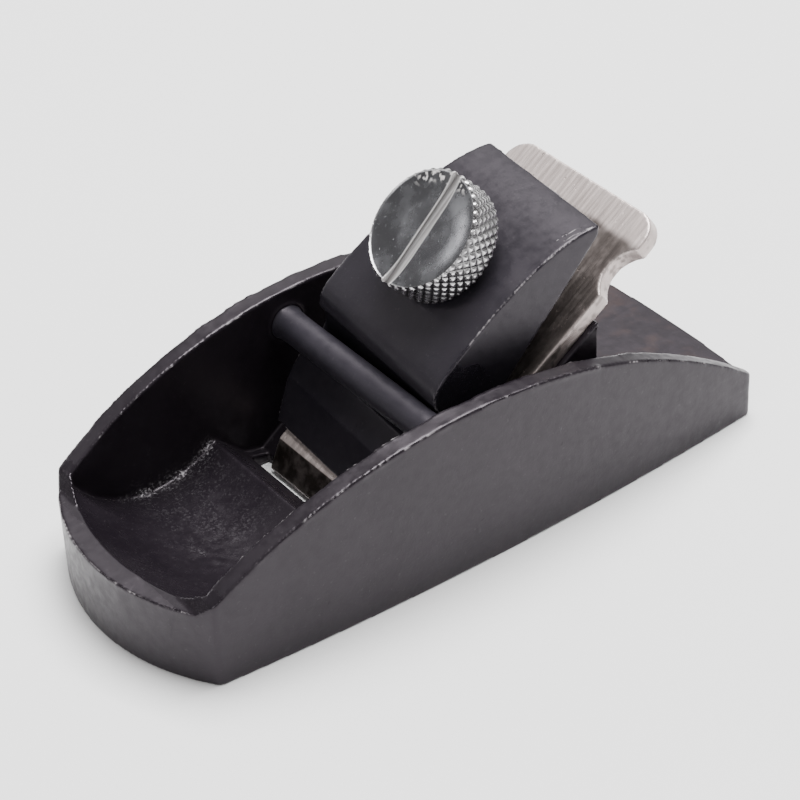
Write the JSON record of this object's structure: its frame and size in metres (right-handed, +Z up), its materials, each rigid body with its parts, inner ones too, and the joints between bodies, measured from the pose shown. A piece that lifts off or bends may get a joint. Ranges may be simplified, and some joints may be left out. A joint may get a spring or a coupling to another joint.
{
  "type": "block plane",
  "caption": "Small cast block plane with bowed side walls, finger scoop, cross bar, askew lever cap, knurled thumb screw and bare steel cutting iron.",
  "frame": {"origin": "middle of the sole, under the middle of the whole object", "axes": "+X towards the toe, +Y towards the left wall seen from the heel, +Z up from the sole"},
  "size_m": [0.0842, 0.0354, 0.0401],
  "materials": {
    "body_paint": "satin charcoal paint over rough casting",
    "bar_paint": "satin charcoal paint",
    "cap_paint": "satin charcoal paint, worn bright on the edges",
    "iron_steel": "ground bare steel",
    "screw_plating": "bright plating, knurled rim",
    "stud_plating": "bright plating"
  },
  "bodies": {
    "body": {"body_casting": "body_paint", "cross_bar": "bar_paint"},
    "iron": {"cutting_iron": "iron_steel"},
    "cap": {"lever_cap": "cap_paint"},
    "stud": {"thumb_screw_stud": "stud_plating"},
    "head": {"thumb_screw_head": "screw_plating"}
  },
  "joints": [
    {"name": "iron_slide", "type": "slide", "parent": "body", "child": "iron", "axis": [-0.8161, 0, 0.5779], "range_m": [-0.001, 0.006]},
    {"name": "cap_tilt", "type": "hinge", "parent": "body", "child": "cap", "pos_m": [0.00487, 0, 0.01763], "axis": [0, -1, 0], "range_deg": [0, 3.5]},
    {"name": "stud_travel", "type": "slide", "parent": "cap", "child": "stud", "axis": [0.6875, -0.0094, 0.7262], "range_m": [0, 0.0012]},
    {"name": "screw_turn", "type": "hinge", "parent": "stud", "child": "head", "pos_m": [-0.00677, 0.00097, 0.03175], "axis": [0.6875, -0.0094, 0.7262], "range_deg": [0, 540.5]}
  ],
  "couplings": [
    {"joint": "screw_turn", "follows": "stud_travel", "rad_per_m": 7854},
    {"joint": "cap_tilt", "follows": "stud_travel", "rad_per_m": 50.266}
  ]
}
